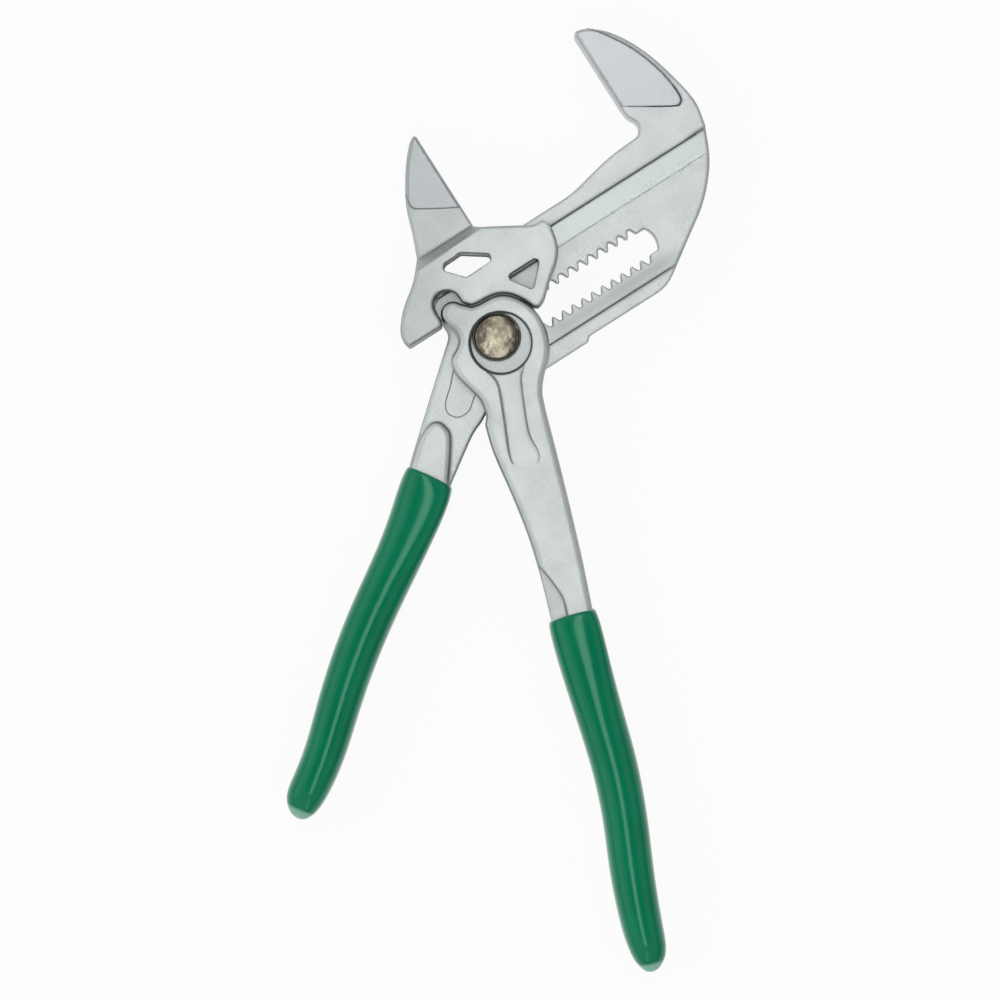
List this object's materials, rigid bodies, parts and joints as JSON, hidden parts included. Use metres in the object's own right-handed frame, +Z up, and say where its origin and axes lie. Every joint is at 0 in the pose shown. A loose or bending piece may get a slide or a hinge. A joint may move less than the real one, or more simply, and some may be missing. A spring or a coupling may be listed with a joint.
{
  "type": "adjustable parallel-jaw pliers",
  "caption": "Forged adjustable pliers with smooth parallel jaws, a toothed slot with a push-button lock and two dipped green grips, lying flat with the handles open.",
  "frame": {"origin": "centre of the rear cover's outer face, on the pivot pin's axis, in the plane that the tool lies on", "axes": "+X along the slot towards the fixed jaw, +Y towards the jaw tips, +Z up out of the push button"},
  "size_m": [0.1483, 0.1711, 0.013],
  "materials": {
    "forged_steel": "satin chrome on a shot-blasted forging, ground and brighter on the jaws' flats and faces",
    "pin_steel": "hardened steel with machined teeth",
    "button_nickel": "bright nickel with a warm tint",
    "spring_steel": "drawn spring wire",
    "cover_steel": "plain satin steel",
    "grip_plastic": "glossy dipped soft plastic, deep green"
  },
  "bodies": {
    "main": {"main_lever": "forged_steel", "main_grip": "grip_plastic"},
    "pivot": {"rear_cover": "cover_steel", "lock_spring": "spring_steel"},
    "handle": {"handle_lever": "forged_steel", "handle_grip": "grip_plastic"},
    "jaw": {"sliding_jaw": "forged_steel"},
    "lock": {"lock_pin": "pin_steel", "push_button": "button_nickel"}
  },
  "joints": [
    {"name": "adjust_slide", "type": "slide", "parent": "main", "child": "pivot", "axis": [1, 0, 0], "range_m": [0, 0.03346]},
    {"name": "handle_hinge", "type": "hinge", "parent": "pivot", "child": "handle", "pos_m": [0, 0, 0.0065], "axis": [0, 0, -1], "range_deg": [0, 21]},
    {"name": "jaw_slide", "type": "slide", "parent": "pivot", "child": "jaw", "axis": [1, 0, 0], "range_m": [0, 0.0035]},
    {"name": "lock_slide", "type": "slide", "parent": "pivot", "child": "lock", "axis": [0, 0, 1], "range_m": [0, 0.0021], "stiffness_N_per_m": 400, "springref_m": 0.005, "deforming": ["lock_spring"]}
  ],
  "couplings": [
    {"joint": "jaw_slide", "follows": "handle_hinge", "m_per_rad": 0.00951}
  ]
}
